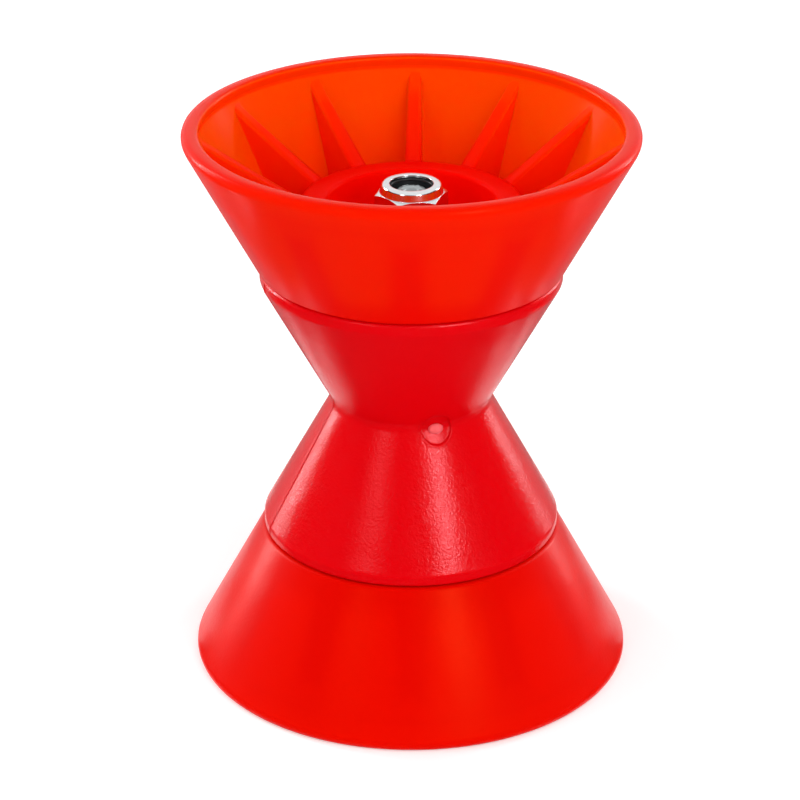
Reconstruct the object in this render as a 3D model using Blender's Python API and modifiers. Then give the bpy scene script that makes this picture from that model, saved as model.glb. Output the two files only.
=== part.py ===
# Boat trailer bow roller: a V-groove centre roller between two ribbed end bells,
# carried on one hex bolt with a nylon-insert lock nut.
# The roller stands on the rim of its lower bell. The axle runs along +Z and the
# origin is the middle of the lower rim. Units are metres.

import math

import bmesh
import bpy
from mathutils import Matrix

MM = 0.001
COLLECTION_NAME = "boat_trailer_roller"

# End bells, in millimetres. Both are the same moulding.
BELL_HEIGHT = 43.1
BELL_RIM_RADIUS = 66.7
BELL_SMALL_RADIUS = 45.3
BELL_WALL = 3.8
BELL_RIM_WIDTH = 5.1
BELL_RIM_FACE = 3.6
BELL_RIM_ROUND = 2.4
BELL_RIM_INNER_ROUND = 1.2
BELL_SMALL_ROUND = 1.3
BELL_WEB = 6.4
HUB_RING_OUTER = 32.8
HUB_RING_INNER = 24.9
HUB_RING_HEIGHT = 19.9
HUB_RING_ROUND = 1.2
HUB_RING_DRAFT = 1.5
POCKET_ROUND = 2.0

# Gusset ribs inside each bell.
RIB_COUNT = 12
RIB_TOP_DEPTH = 5.2
RIB_TOP_THICKNESS = 4.0
RIB_ROOT_THICKNESS = 5.8
RIB_EDGE_ROUND = 1.5
RIB_HUB_DROP = 0.5
RIB_SINK = 1.6
UPPER_BELL_TURN = -1.2

# Centre roller.
ROLLER_LENGTH = 84.4
ROLLER_END_RADIUS = 45.0
ROLLER_WAIST_RADIUS = 23.8
ROLLER_WAIST_ROUND = 3.2
ROLLER_LAND = 3.2
ROLLER_LAND_ROUND = 1.6
ROLLER_EDGE_ROUND = 0.6
ROLLER_FACE_GAP = 0.35

# Bores and bushes.
PIECE_GAP = 0.3
PLASTIC_BORE_RADIUS = 8.5
ROLLER_CORE_RADIUS = 6.9
BORE_CHAMFER = 0.5
ROLLER_BUSH_LENGTH = 20.0
BUSH_CHAMFER = 0.4
BELL_BUSH_FLANGE_RADIUS = 12.5
BELL_BUSH_FLANGE = 1.5
THRUST_WASHER_RADIUS = 14.0
THRUST_WASHER = 1.5

# M12 bolt, washers and lock nut.
BOLT_RADIUS = 6.0
BOLT_HEAD_HEIGHT = 7.5
BOLT_THREAD_LENGTH = 30.0
BOLT_THREAD_RADIUS = 5.86
BOLT_TIP_CHAMFER = 1.1
BOLT_TIP_RECESS = 2.0
BOLT_NECK_ROUND = 0.5
HEX_ACROSS_FLATS = 19.0
HEX_CHAMFER_ANGLE = 30.0
HEAD_TURN = 11.0
WASHER_RADIUS = 12.0
WASHER_BORE_RADIUS = 6.5
WASHER = 2.5
WASHER_ROUND = 0.3
NUT_HEIGHT = 14.0
NUT_HEX_HEIGHT = 10.6
NUT_COLLAR_RADIUS = 8.55
NUT_COLLAR_ROUND = 1.3
NUT_LIP_RADIUS = 6.5
NUT_LIP = 0.7
NUT_COLLAR_WALL = 0.7
NUT_BORE_CHAMFER = 0.7
NUT_TURN = 2.7
INSERT_HEIGHT = 2.6

# Steps of the turned shapes.
BIG_STEPS = 48
SMALL_STEPS = 24

# Places along the axle, worked out from the sizes above.
ROLLER_BOTTOM = BELL_HEIGHT + ROLLER_FACE_GAP
ROLLER_TOP = ROLLER_BOTTOM + ROLLER_LENGTH
UPPER_BELL_BOTTOM = ROLLER_TOP + ROLLER_FACE_GAP
TOTAL_HEIGHT = UPPER_BELL_BOTTOM + BELL_HEIGHT
MIDDLE = TOTAL_HEIGHT / 2
BUSH_INNER = BOLT_RADIUS + PIECE_GAP
BUSH_OUTER = PLASTIC_BORE_RADIUS - PIECE_GAP
THRUST_POCKET = THRUST_WASHER + 2 * PIECE_GAP - ROLLER_FACE_GAP
WASHER_SEAT = BELL_WEB + PIECE_GAP + BELL_BUSH_FLANGE + PIECE_GAP
NUT_SEAT = UPPER_BELL_BOTTOM + WASHER_SEAT + WASHER + PIECE_GAP
HEAD_SEAT = BELL_HEIGHT - WASHER_SEAT - WASHER - PIECE_GAP
BOLT_LENGTH = NUT_SEAT + NUT_HEIGHT - BOLT_TIP_RECESS - HEAD_SEAT
HEX_CORNER_RADIUS = HEX_ACROSS_FLATS / math.sqrt(3)

# The bell's cone leans so that it runs from the small end and just touches the rim's round.
RIM_RUN = BELL_RIM_RADIUS - BELL_RIM_ROUND - BELL_SMALL_RADIUS
RIM_RISE = BELL_HEIGHT - BELL_RIM_ROUND
CONE_LEAN = math.atan2(RIM_RUN, RIM_RISE) + math.asin(BELL_RIM_ROUND / math.hypot(RIM_RUN, RIM_RISE))
WALL_ACROSS = BELL_WALL / math.cos(CONE_LEAN)


def clear_scene():
    for old in list(bpy.data.objects):
        bpy.data.objects.remove(old, do_unlink=True)


def new_collection(name):
    collection = bpy.data.collections.new(name)
    bpy.context.scene.collection.children.link(collection)
    return collection


def material(name, colour, metallic, roughness):
    made = bpy.data.materials.new(name)
    made.use_nodes = True
    shader = made.node_tree.nodes["Principled BSDF"]
    shader.inputs["Base Color"].default_value = (*colour, 1.0)
    shader.inputs["Metallic"].default_value = metallic
    shader.inputs["Roughness"].default_value = roughness
    made.diffuse_color = (*colour, 1.0)
    return made


def arc(centre, radius, start, end, pieces):
    """Points of a round in the (radius, height) plane, angles in degrees from outwards."""
    points = []
    for step in range(pieces + 1):
        angle = math.radians(start + (end - start) * step / pieces)
        points.append((centre[0] + radius * math.cos(angle), centre[1] + radius * math.sin(angle)))
    return points


def add_object(name, mesh, collection, finish=None):
    made = bpy.data.objects.new(name, mesh)
    collection.objects.link(made)
    if finish:
        mesh.materials.append(finish)
    return made


def profile_mesh(name, profile):
    """A closed outline at +X, in millimetres, that runs down the outer side first."""
    mesh = bpy.data.meshes.new(name)
    points = [(r * MM, 0.0, z * MM) for r, z in profile]
    edges = [(i, (i + 1) % len(points)) for i in range(len(points))]
    mesh.from_pydata(points, edges, [])
    return mesh


def spin(made, steps):
    screw = made.modifiers.new("turned", "SCREW")
    screw.axis = "Z"
    screw.angle = math.tau
    screw.steps = steps
    screw.render_steps = steps
    screw.use_merge_vertices = True
    screw.merge_threshold = 0.00001
    screw.use_smooth_shade = True


def turned(name, profile, steps, collection, finish=None):
    made = add_object(name, profile_mesh(name, profile), collection, finish)
    spin(made, steps)
    return made


def helper(made):
    made.hide_render = True
    made.display_type = "WIRE"
    return made


def boolean(made, other, operation):
    cut = made.modifiers.new(operation.lower(), "BOOLEAN")
    cut.operation = operation
    cut.object = other
    cut.solver = "EXACT"


def soften(made):
    """Round sides shade smooth, and the broad faces beside them stay flat."""
    made.modifiers.new("weighted normals", "WEIGHTED_NORMAL")


def axis_empty(name, height, collection):
    """An empty on the axle's line, which carries the pieces that turn together."""
    empty = bpy.data.objects.new(name, None)
    empty.location = (0.0, 0.0, height * MM)
    empty.empty_display_size = 20 * MM
    collection.objects.link(empty)
    return empty


def place(made, height, parent=None, flip=False, turn=0.0):
    """Puts a piece on the axle at a height, turned about it, with its top and bottom swapped by flip."""
    made.location = (0.0, 0.0, height * MM - (parent.location.z if parent else 0.0))
    made.rotation_euler = (math.pi if flip else 0.0, 0.0, math.radians(turn))
    made.parent = parent


def bell_outer_radius(height):
    """Radius of the bell's cone at a height above its small end."""
    return BELL_SMALL_RADIUS + height * math.tan(CONE_LEAN)


def bell_inner_radius(height):
    return bell_outer_radius(height) - WALL_ACROSS


def bell_profile():
    """The bell stands on its small end. The outline runs down the cone and up through the cup."""
    lean = math.degrees(CONE_LEAN)
    rim_inner = BELL_RIM_RADIUS - BELL_RIM_WIDTH
    rim_centre = (BELL_RIM_RADIUS - BELL_RIM_ROUND, BELL_HEIGHT - BELL_RIM_ROUND)
    # A round touches the cone where the cone's normal points down by its lean.
    small_centre = bell_outer_radius(BELL_SMALL_ROUND) - BELL_SMALL_ROUND / math.cos(CONE_LEAN)
    ring_slope = math.tan(math.radians(HUB_RING_DRAFT))
    ring_rise = HUB_RING_HEIGHT - BELL_WEB
    inner_foot = HUB_RING_INNER - ring_slope * ring_rise
    outer_foot = HUB_RING_OUTER + ring_slope * ring_rise
    wall_foot = bell_inner_radius(BELL_WEB + POCKET_ROUND)
    face_foot = BELL_HEIGHT - BELL_RIM_FACE
    points = []
    points += arc(rim_centre, BELL_RIM_ROUND, 90, -lean, 4)
    points += arc((small_centre, BELL_SMALL_ROUND), BELL_SMALL_ROUND, -lean, -90, 2)
    points += [(PLASTIC_BORE_RADIUS + BORE_CHAMFER, 0.0), (PLASTIC_BORE_RADIUS, BORE_CHAMFER)]
    points += [(PLASTIC_BORE_RADIUS, BELL_WEB)]
    foot = POCKET_ROUND
    points += arc((inner_foot - foot, BELL_WEB + foot), foot, -90, 0, 2)
    top = (HUB_RING_INNER + HUB_RING_ROUND, HUB_RING_HEIGHT - HUB_RING_ROUND)
    points += arc(top, HUB_RING_ROUND, 180, 90, 2)
    top = (HUB_RING_OUTER - HUB_RING_ROUND, HUB_RING_HEIGHT - HUB_RING_ROUND)
    points += arc(top, HUB_RING_ROUND, 90, 0, 2)
    points += arc((outer_foot + foot, BELL_WEB + foot), foot, 180, 270, 2)
    points += arc((wall_foot - foot, BELL_WEB + foot), foot, -90, -lean, 2)
    points += [(min(rim_inner, bell_inner_radius(face_foot)), face_foot)]
    inner_round = (rim_inner + BELL_RIM_INNER_ROUND, BELL_HEIGHT - BELL_RIM_INNER_ROUND)
    points += arc(inner_round, BELL_RIM_INNER_ROUND, 180, 90, 2)
    return points


def rib_mesh():
    """All gussets of a bell: each slopes from under the rim to the hub ring and thins towards the mouth."""
    top = BELL_HEIGHT - RIB_TOP_DEPTH
    hub = HUB_RING_HEIGHT - RIB_HUB_DROP
    foot = BELL_WEB - RIB_SINK
    inside_wall = WALL_ACROSS / 2
    outline = [
        (bell_inner_radius(top) + inside_wall, top),
        (bell_inner_radius(top), top),
        (HUB_RING_OUTER, hub),
        (HUB_RING_OUTER - 2 * RIB_SINK, hub),
        (HUB_RING_OUTER - 2 * RIB_SINK, foot),
        (bell_inner_radius(foot) + inside_wall, foot),
    ]
    form = bmesh.new()
    corners = [form.verts.new((r * MM, 0.0, z * MM)) for r, z in outline]
    side = form.faces.new(corners)
    made = bmesh.ops.extrude_face_region(form, geom=[side])
    far = [item for item in made["geom"] if isinstance(item, bmesh.types.BMVert)]
    for vertex in far:
        vertex.co.y = 1.0
    for vertex in corners:
        vertex.co.y = -1.0
    # The flanks lean in towards the bell's mouth, which is the draft of the mould.
    for vertex in form.verts:
        share = (vertex.co.z / MM - foot) / (top - foot)
        thickness = RIB_ROOT_THICKNESS + (RIB_TOP_THICKNESS - RIB_ROOT_THICKNESS) * share
        vertex.co.y *= thickness / 2 * MM
    sloping = []
    for edge in form.edges:
        ends = sorted(vertex.co.z / MM for vertex in edge.verts)
        if abs(ends[0] - hub) < 0.01 and abs(ends[1] - top) < 0.01:
            sloping.append(edge)
    bmesh.ops.bevel(form, geom=sloping, offset=RIB_EDGE_ROUND * MM, segments=2, profile=0.5,
                    affect="EDGES", material=-1)
    bmesh.ops.recalc_face_normals(form, faces=form.faces)
    first_rib = form.verts[:] + form.edges[:] + form.faces[:]
    for index in range(1, RIB_COUNT):
        copied = bmesh.ops.duplicate(form, geom=first_rib)
        fresh = [item for item in copied["geom"] if isinstance(item, bmesh.types.BMVert)]
        spin_by = Matrix.Rotation(math.tau * index / RIB_COUNT, 3, "Z")
        bmesh.ops.rotate(form, verts=fresh, cent=(0, 0, 0), matrix=spin_by)
    mesh = bpy.data.meshes.new("rib_set")
    form.to_mesh(mesh)
    form.free()
    return mesh


def bell(name, ribs, collection, cutters, finish):
    """The turned cup with its ribs joined on. The ribs follow the bell wherever it is placed."""
    made = turned(name, bell_profile(), BIG_STEPS, collection, finish)
    own_ribs = helper(add_object(name + "_ribs", ribs, cutters))
    own_ribs.parent = made
    boolean(made, own_ribs, "UNION")
    return made


def roller_outer_half():
    """The upper half of the roller's outside, from its top edge down to the waist, about the middle."""
    half = ROLLER_LENGTH / 2
    land_foot = half - ROLLER_LAND
    run = ROLLER_END_RADIUS - ROLLER_WAIST_RADIUS
    lean = math.degrees(math.atan2(run, land_foot))
    tangent = math.tan(math.radians(lean / 2))
    # The land meets the cone in a round, and the two cones meet in the round of the waist.
    land_round = (ROLLER_END_RADIUS - ROLLER_LAND_ROUND, land_foot + ROLLER_LAND_ROUND * tangent)
    waist_centre = ROLLER_WAIST_RADIUS + ROLLER_WAIST_ROUND / math.cos(math.radians(lean))
    edge = (ROLLER_END_RADIUS - ROLLER_EDGE_ROUND, half - ROLLER_EDGE_ROUND)
    points = arc(edge, ROLLER_EDGE_ROUND, 90, 0, 2)
    points += arc(land_round, ROLLER_LAND_ROUND, 0, -lean, 2)
    points += arc((waist_centre, 0.0), ROLLER_WAIST_ROUND, 180 - lean, 180, 2)
    return points


def roller_profile():
    """Both cones, the land at each end, the thrust pockets, the bush seats and the core hole."""
    outer = roller_outer_half()
    half = ROLLER_LENGTH / 2
    pocket_floor = half - THRUST_POCKET
    pocket_radius = THRUST_WASHER_RADIUS + PIECE_GAP
    bush_stop = pocket_floor - ROLLER_BUSH_LENGTH - PIECE_GAP
    bore = [
        (pocket_radius + BORE_CHAMFER, half),
        (pocket_radius, half - BORE_CHAMFER),
        (pocket_radius, pocket_floor),
        (PLASTIC_BORE_RADIUS, pocket_floor),
        (PLASTIC_BORE_RADIUS, bush_stop),
        (ROLLER_CORE_RADIUS, bush_stop),
    ]
    lower_outer = [(r, -z) for r, z in reversed(outer[:-1])]
    lower_bore = [(r, -z) for r, z in bore]
    return outer + lower_outer + lower_bore + list(reversed(bore))


def ring_profile(outer, inner, height, corner):
    """A plain ring with its four corners taken off, standing on height zero."""
    return [
        (outer - corner, height), (outer, height - corner), (outer, corner), (outer - corner, 0.0),
        (inner + corner, 0.0), (inner, corner), (inner, height - corner), (inner + corner, height),
    ]


def flanged_bush_profile():
    """The flange lies on the cup floor, and the sleeve goes down through the web."""
    sleeve = BELL_WEB + PIECE_GAP - BUSH_CHAMFER
    top = BELL_BUSH_FLANGE
    cut = BUSH_CHAMFER
    return [
        (BELL_BUSH_FLANGE_RADIUS - cut, top), (BELL_BUSH_FLANGE_RADIUS, top - cut),
        (BELL_BUSH_FLANGE_RADIUS, 0.0), (BUSH_OUTER, 0.0), (BUSH_OUTER, cut - sleeve),
        (BUSH_OUTER - cut, -sleeve), (BUSH_INNER + cut, -sleeve), (BUSH_INNER, cut - sleeve),
        (BUSH_INNER, top - cut), (BUSH_INNER + cut, top),
    ]


def hex_prism(name, turn, collection):
    """A tall hex bar on the axle. A turned form is cut to it, which gives flats with curved chamfer edges."""
    form = bmesh.new()
    bmesh.ops.create_cone(form, cap_ends=True, segments=6, radius1=HEX_CORNER_RADIUS * MM,
                          radius2=HEX_CORNER_RADIUS * MM, depth=4 * BOLT_LENGTH * MM,
                          matrix=Matrix.Rotation(math.radians(turn), 4, "Z"))
    mesh = bpy.data.meshes.new(name)
    form.to_mesh(mesh)
    form.free()
    return helper(add_object(name, mesh, collection))


def hex_chamfer():
    """How far a chamfer comes down at the corners when it starts at the flats."""
    flat = HEX_ACROSS_FLATS / 2
    return (HEX_CORNER_RADIUS - flat) * math.tan(math.radians(HEX_CHAMFER_ANGLE))


def bolt_profile():
    """Head down: the seat of the head is height zero and the shank goes up."""
    flat = HEX_ACROSS_FLATS / 2
    wide = HEX_CORNER_RADIUS + 1.0
    drop = hex_chamfer() * (wide - flat) / (HEX_CORNER_RADIUS - flat)
    thread_start = BOLT_LENGTH - BOLT_THREAD_LENGTH
    tip = BOLT_THREAD_RADIUS - BOLT_TIP_CHAMFER
    step = BOLT_RADIUS - BOLT_THREAD_RADIUS
    return [
        (0.0, BOLT_LENGTH), (tip, BOLT_LENGTH), (BOLT_THREAD_RADIUS, BOLT_LENGTH - BOLT_TIP_CHAMFER),
        (BOLT_THREAD_RADIUS, thread_start + step), (BOLT_RADIUS, thread_start),
        (BOLT_RADIUS, BOLT_NECK_ROUND), (BOLT_RADIUS + BOLT_NECK_ROUND / 2, 0.0),
        (flat - BUSH_CHAMFER, 0.0), (flat - BUSH_CHAMFER, -BUSH_CHAMFER), (wide, -BUSH_CHAMFER),
        (wide, drop - BOLT_HEAD_HEIGHT), (flat, -BOLT_HEAD_HEIGHT), (0.0, -BOLT_HEAD_HEIGHT),
    ]


def nut_profile():
    """Hex body, crimped collar over the insert's seat, and the bore, standing on its bearing face."""
    flat = HEX_ACROSS_FLATS / 2
    wide = HEX_CORNER_RADIUS + 1.0
    drop = hex_chamfer() * (wide - flat) / (HEX_CORNER_RADIUS - flat)
    bore = BOLT_RADIUS + PIECE_GAP
    seat = NUT_COLLAR_RADIUS - NUT_COLLAR_WALL
    seat_top = NUT_HEIGHT - NUT_LIP
    seat_floor = seat_top - INSERT_HEIGHT - 2 * PIECE_GAP
    collar_round = (NUT_COLLAR_RADIUS - NUT_COLLAR_ROUND, NUT_HEIGHT - NUT_COLLAR_ROUND)
    points = arc(collar_round, NUT_COLLAR_ROUND, 90, 0, 3)
    points += [
        (NUT_COLLAR_RADIUS, NUT_HEX_HEIGHT), (flat, NUT_HEX_HEIGHT), (wide, NUT_HEX_HEIGHT - drop),
        (wide, drop), (flat, 0.0), (bore + NUT_BORE_CHAMFER, 0.0), (bore, NUT_BORE_CHAMFER),
        (bore, seat_floor), (seat, seat_floor), (seat, seat_top - NUT_COLLAR_WALL),
        (seat - NUT_COLLAR_WALL, seat_top), (NUT_LIP_RADIUS, seat_top), (NUT_LIP_RADIUS, NUT_HEIGHT),
    ]
    return points


def insert_profile():
    outer = NUT_COLLAR_RADIUS - NUT_COLLAR_WALL - PIECE_GAP
    inner = BOLT_RADIUS + PIECE_GAP
    corner = NUT_COLLAR_WALL
    return [
        (outer - corner, INSERT_HEIGHT), (outer, INSERT_HEIGHT - corner), (outer, 0.0),
        (inner, 0.0), (inner, INSERT_HEIGHT),
    ]


def build():
    clear_scene()
    parts = new_collection(COLLECTION_NAME)
    cutters = new_collection("cutters")

    bell_pvc = material("bell_pvc", (0.92, 0.055, 0.012), 0.0, 0.3)
    roller_pvc = material("roller_pvc", (0.78, 0.006, 0.012), 0.0, 0.3)
    zinc = material("zinc_plated_steel", (0.72, 0.73, 0.75), 1.0, 0.25)
    nylon = material("white_nylon", (0.82, 0.81, 0.76), 0.0, 0.45)
    dark_nylon = material("dark_nylon", (0.03, 0.032, 0.035), 0.0, 0.4)

    lower_axis = axis_empty("lower_bell_axis", 0.0, parts)
    roller_axis = axis_empty("roller_axis", MIDDLE, parts)
    upper_axis = axis_empty("upper_bell_axis", TOTAL_HEIGHT, parts)

    ribs = rib_mesh()
    lower = bell("lower_bell", ribs, parts, cutters, bell_pvc)
    place(lower, BELL_HEIGHT, lower_axis, flip=True)
    upper = bell("upper_bell", ribs, parts, cutters, bell_pvc)
    place(upper, UPPER_BELL_BOTTOM, upper_axis, turn=UPPER_BELL_TURN)

    roller = turned("centre_roller", roller_profile(), BIG_STEPS, parts, roller_pvc)
    place(roller, MIDDLE, roller_axis)

    bush = flanged_bush_profile()
    lower_bush = turned("lower_bell_bush", bush, SMALL_STEPS, parts, nylon)
    place(lower_bush, BELL_HEIGHT - BELL_WEB - PIECE_GAP, lower_axis, flip=True)
    upper_bush = turned("upper_bell_bush", bush, SMALL_STEPS, parts, nylon)
    place(upper_bush, UPPER_BELL_BOTTOM + BELL_WEB + PIECE_GAP, upper_axis)

    bush = ring_profile(BUSH_OUTER, BUSH_INNER, ROLLER_BUSH_LENGTH, BUSH_CHAMFER)
    low_bush = turned("lower_roller_bush", bush, SMALL_STEPS, parts, nylon)
    place(low_bush, ROLLER_BOTTOM + THRUST_POCKET, roller_axis)
    high_bush = turned("upper_roller_bush", bush, SMALL_STEPS, parts, nylon)
    place(high_bush, ROLLER_TOP - THRUST_POCKET - ROLLER_BUSH_LENGTH, roller_axis)

    disc = ring_profile(THRUST_WASHER_RADIUS, BUSH_INNER, THRUST_WASHER, WASHER_ROUND)
    low_disc = turned("lower_thrust_washer", disc, SMALL_STEPS, parts, nylon)
    place(low_disc, BELL_HEIGHT + PIECE_GAP)
    high_disc = turned("upper_thrust_washer", disc, SMALL_STEPS, parts, nylon)
    place(high_disc, UPPER_BELL_BOTTOM - PIECE_GAP - THRUST_WASHER)

    plate = ring_profile(WASHER_RADIUS, WASHER_BORE_RADIUS, WASHER, WASHER_ROUND)
    head_washer = turned("head_washer", plate, SMALL_STEPS, parts, zinc)
    place(head_washer, HEAD_SEAT + PIECE_GAP)
    nut_washer = turned("nut_washer", plate, SMALL_STEPS, parts, zinc)
    place(nut_washer, NUT_SEAT - PIECE_GAP - WASHER)

    bolt = turned("hex_bolt", bolt_profile(), SMALL_STEPS, parts, zinc)
    boolean(bolt, hex_prism("head_hex", HEAD_TURN, cutters), "INTERSECT")
    place(bolt, HEAD_SEAT)

    nut = turned("lock_nut", nut_profile(), SMALL_STEPS, parts, zinc)
    boolean(nut, hex_prism("nut_hex", NUT_TURN, cutters), "INTERSECT")
    place(nut, NUT_SEAT)
    insert = turned("nylon_insert", insert_profile(), SMALL_STEPS, parts, dark_nylon)
    place(insert, NUT_SEAT + NUT_HEIGHT - NUT_LIP - PIECE_GAP - INSERT_HEIGHT)

    for made in parts.objects:
        if made.type == "MESH":
            soften(made)


build()
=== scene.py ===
# %% [markdown]
# A bow roller for a boat trailer. A crimson V roller turns between two orange-red end bells, all
# three moulded in translucent PVC, on one bolt with a lock nut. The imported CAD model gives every
# size and place. This script gives the pieces their fine shapes and finishes, and takes the picture.

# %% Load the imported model
import math

import bmesh
import bpy
from mathutils import Matrix, Vector


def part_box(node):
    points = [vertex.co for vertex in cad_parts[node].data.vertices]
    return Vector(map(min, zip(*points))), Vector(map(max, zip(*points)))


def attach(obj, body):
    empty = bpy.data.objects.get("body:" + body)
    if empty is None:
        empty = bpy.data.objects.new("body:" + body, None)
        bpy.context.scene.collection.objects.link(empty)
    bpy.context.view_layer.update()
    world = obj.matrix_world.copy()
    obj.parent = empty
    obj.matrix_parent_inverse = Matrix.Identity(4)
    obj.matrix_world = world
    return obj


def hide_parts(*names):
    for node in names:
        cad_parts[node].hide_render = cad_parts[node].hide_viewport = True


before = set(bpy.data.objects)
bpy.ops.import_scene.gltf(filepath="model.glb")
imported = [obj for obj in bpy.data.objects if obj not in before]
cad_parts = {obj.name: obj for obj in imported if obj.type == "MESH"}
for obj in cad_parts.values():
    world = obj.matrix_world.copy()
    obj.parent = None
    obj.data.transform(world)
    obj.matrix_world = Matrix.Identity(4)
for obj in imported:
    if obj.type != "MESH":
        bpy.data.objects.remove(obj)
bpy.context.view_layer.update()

MM = 0.001

# %% [markdown]
# Most pieces of a roller are turned shapes: one outline goes round the bolt. So the outline is
# drawn once, as a few corners, and each corner says how round the mould leaves it. Bevelling the
# corners while the outline is still flat costs nothing, and the spin then makes the surface.

# %% Outlines and turned shapes
ROUND_STEPS = 6


def outline(corners):
    """A closed chain from (radius, height, round) corners in millimetres, each rounded as asked."""
    form = bmesh.new()
    points = [form.verts.new((r * MM, 0.0, z * MM)) for r, z, _ in corners]
    form.faces.new(points)
    count = len(points)
    places = [point.co.copy() for point in points]
    for index, (point, corner) in enumerate(zip(points, corners)):
        if not corner[2]:
            continue
        back = places[index - 1] - places[index]
        on = places[(index + 1) % count] - places[index]
        reach = corner[2] * MM / math.tan(back.angle(on) / 2)
        bmesh.ops.bevel(form, geom=[point], offset=reach, offset_type="OFFSET", segments=ROUND_STEPS,
                        profile=0.5, affect="VERTICES", clamp_overlap=False, material=-1)
    bmesh.ops.delete(form, geom=form.faces[:], context="FACES_ONLY")
    return form


def turn(form, steps):
    """Spins an outline once round the bolt's line and closes the seam."""
    bmesh.ops.spin(form, geom=form.verts[:] + form.edges[:], cent=(0, 0, 0), axis=(0, 0, 1),
                   dvec=(0, 0, 0), angle=math.tau, steps=steps, use_merge=True)
    bmesh.ops.remove_doubles(form, verts=form.verts[:], dist=0.0001 * MM)
    bmesh.ops.recalc_face_normals(form, faces=form.faces[:])
    return form


def piece(name, form):
    """Makes an object of a finished form. Flat faces stay crisp where they meet at over 35 degrees."""
    mesh = bpy.data.meshes.new(name)
    form.to_mesh(mesh)
    form.free()
    mesh.shade_smooth()
    mesh.set_sharp_from_angle(angle=math.radians(35))
    made = bpy.data.objects.new(name, mesh)
    bpy.context.scene.collection.objects.link(made)
    return made


def triangles(made):
    return sum(len(face.vertices) - 2 for face in made.data.polygons)


test = turn(outline([(10, 5, 1), (10, 0, 0), (8, 0, 0), (8, 5, 0)]), 96)
print("a test ring has", len(test.faces), "faces")
test.free()

# %% [markdown]
# Ribs, flats and marks aren't turned, so they are joined or cut in with exact booleans. The result
# is read back as plain mesh, because a piece with no live modifiers rides and exports simply. Edges
# shorter than a few thousandths of a millimetre are slivers of the boolean, and they are dissolved.

# %% Joining and cutting
SLIVER = 0.004


def combine(base, other, operation):
    """Applies one exact boolean to the base and removes the other object."""
    step = base.modifiers.new(operation.lower(), "BOOLEAN")
    step.operation = operation
    step.object = other
    step.solver = "EXACT"
    graph = bpy.context.evaluated_depsgraph_get()
    old = base.data
    base.data = bpy.data.meshes.new_from_object(base.evaluated_get(graph))
    base.modifiers.clear()
    base.data.name = base.name
    bpy.data.meshes.remove(old)
    bpy.data.objects.remove(other, do_unlink=True)
    form = bmesh.new()
    form.from_mesh(base.data)
    bmesh.ops.dissolve_degenerate(form, edges=form.edges[:], dist=SLIVER * MM)
    bmesh.ops.remove_doubles(form, verts=form.verts[:], dist=SLIVER * MM)
    form.to_mesh(base.data)
    form.free()
    base.data.shade_smooth()
    base.data.set_sharp_from_angle(angle=math.radians(35))
    return base


def settle(made, height, flip=False, turned=0.0):
    """Moves the mesh itself to its height on the bolt, so the object stays at the origin."""
    place = Matrix.Translation((0, 0, height * MM)) @ Matrix.Rotation(math.radians(turned), 4, "Z")
    if flip:
        place = place @ Matrix.Rotation(math.pi, 4, "X")
    made.data.transform(place)
    return made


# %% [markdown]
# The materials come first, because the shapes are seen with them on. Colours are written as sRGB
# hex values, as a picture shows them, and one function turns them to the linear values that a
# renderer works with. One more function adds a node with its settings and its links.

# %% Colour and node helpers
def linear(hex_code):
    values = [int(hex_code[i:i + 2], 16) / 255 for i in (0, 2, 4)]
    return [v / 12.92 if v <= 0.04045 else ((v + 0.055) / 1.055) ** 2.4 for v in values] + [1.0]


def node(tree, kind, inputs=None, **settings):
    """Adds a node, sets its properties, and fills each input with a value or a link."""
    made = tree.nodes.new(kind)
    for name, value in settings.items():
        setattr(made, name, value)
    for name, value in (inputs or {}).items():
        if isinstance(value, bpy.types.NodeSocket):
            tree.links.new(value, made.inputs[name])
        else:
            made.inputs[name].default_value = value
    return made


def new_material(name):
    made = bpy.data.materials.new(name)
    made.use_nodes = True
    made.node_tree.nodes.clear()
    return made, made.node_tree


# %% [markdown]
# PVC for boat rollers is soft, dyed through and slightly see-through. Light goes a few millimetres
# in, so a thin wall glows orange while a thick hub stays deep red. The Ambient Occlusion node set to
# inside is dark where another wall lies close behind a point, and the colour follows it. The inside
# of a cup glows most, because daylight comes through its wall from outside. That glow is painted
# light: faces near the wall that look back at the bolt take a third, brighter colour, which fades
# towards the hub, which no light gets through. Light that travels inside is subsurface scattering,
# longest for red.
# The surface has the fine grain of a blasted mould, 0.4 mm between grains, over scuffs of about a
# millimetre and slow waves where the plastic shrank. Its shine is weak and takes the colour of the
# dye, and only grazing light is white.

# %% Moulded PVC
LIGHT_REACH = 8
EDGE_ROUND = 1.1
GRAIN_WIDTH = 0.4
SPOT_WIDTH = 1.2
WAVE_WIDTH = 14
WAVE_DEPTH = 0.25
HUB_SHADE_RADIUS = 36
FULL_GLOW_RADIUS = 56


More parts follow.
